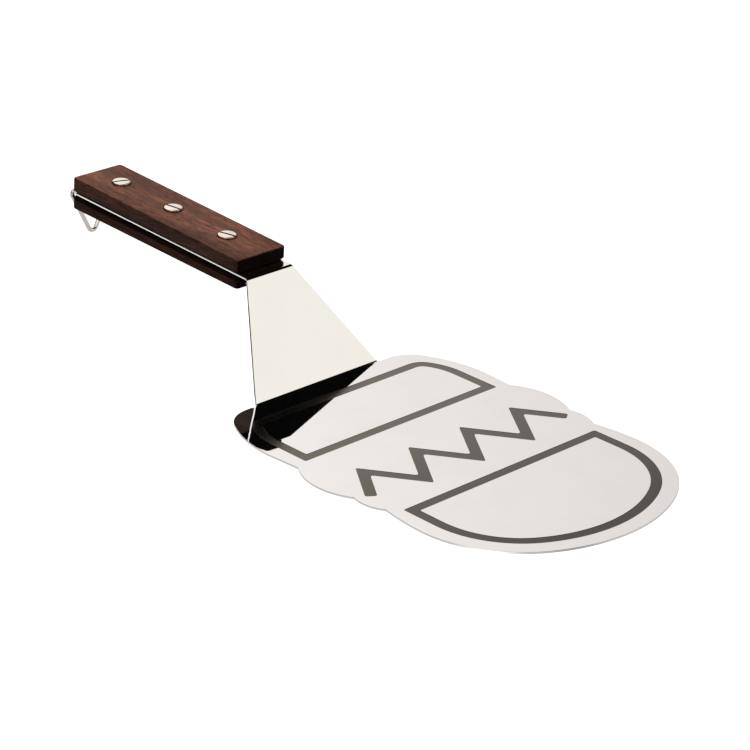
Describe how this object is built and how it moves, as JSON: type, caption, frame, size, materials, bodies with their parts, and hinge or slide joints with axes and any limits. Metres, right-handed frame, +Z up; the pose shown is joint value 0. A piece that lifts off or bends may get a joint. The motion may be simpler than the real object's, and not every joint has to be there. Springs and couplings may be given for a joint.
{
  "type": "burger turner",
  "caption": "Kitchen turner for burgers: burger-shaped polished steel blade with etched outlines, steep neck, flat tang between screwed hardwood scales and a swinging hanging ring.",
  "frame": {"origin": "on the surface that the blade lies on, in the middle of the turner's length and width", "axes": "+X along the turner towards the blade's tip, +Y across it, +Z up from the surface"},
  "size_m": [0.3236, 0.1292, 0.0531],
  "materials": {
    "polished_steel": "mirror-polished stainless sheet, with matt dark grey etched lines",
    "hardwood": "oiled dark red-brown hardwood, satin, fine grain along the handle",
    "bright_fasteners": "nickel-plated screws and barrel nuts, polished",
    "ring_wire": "bright bent steel wire"
  },
  "bodies": {
    "turner": {"turner_sheet": "polished_steel", "upper_scale": "hardwood", "lower_scale": "hardwood", "binding_screws": "bright_fasteners", "barrel_nuts": "bright_fasteners"},
    "ring": {"hanging_ring": "ring_wire"}
  },
  "joints": [
    {"name": "ring_swing", "type": "hinge", "parent": "turner", "child": "ring", "pos_m": [-0.15981, 0, 0.04509], "axis": [0, 1, 0], "range_deg": [-15, 193]}
  ]
}
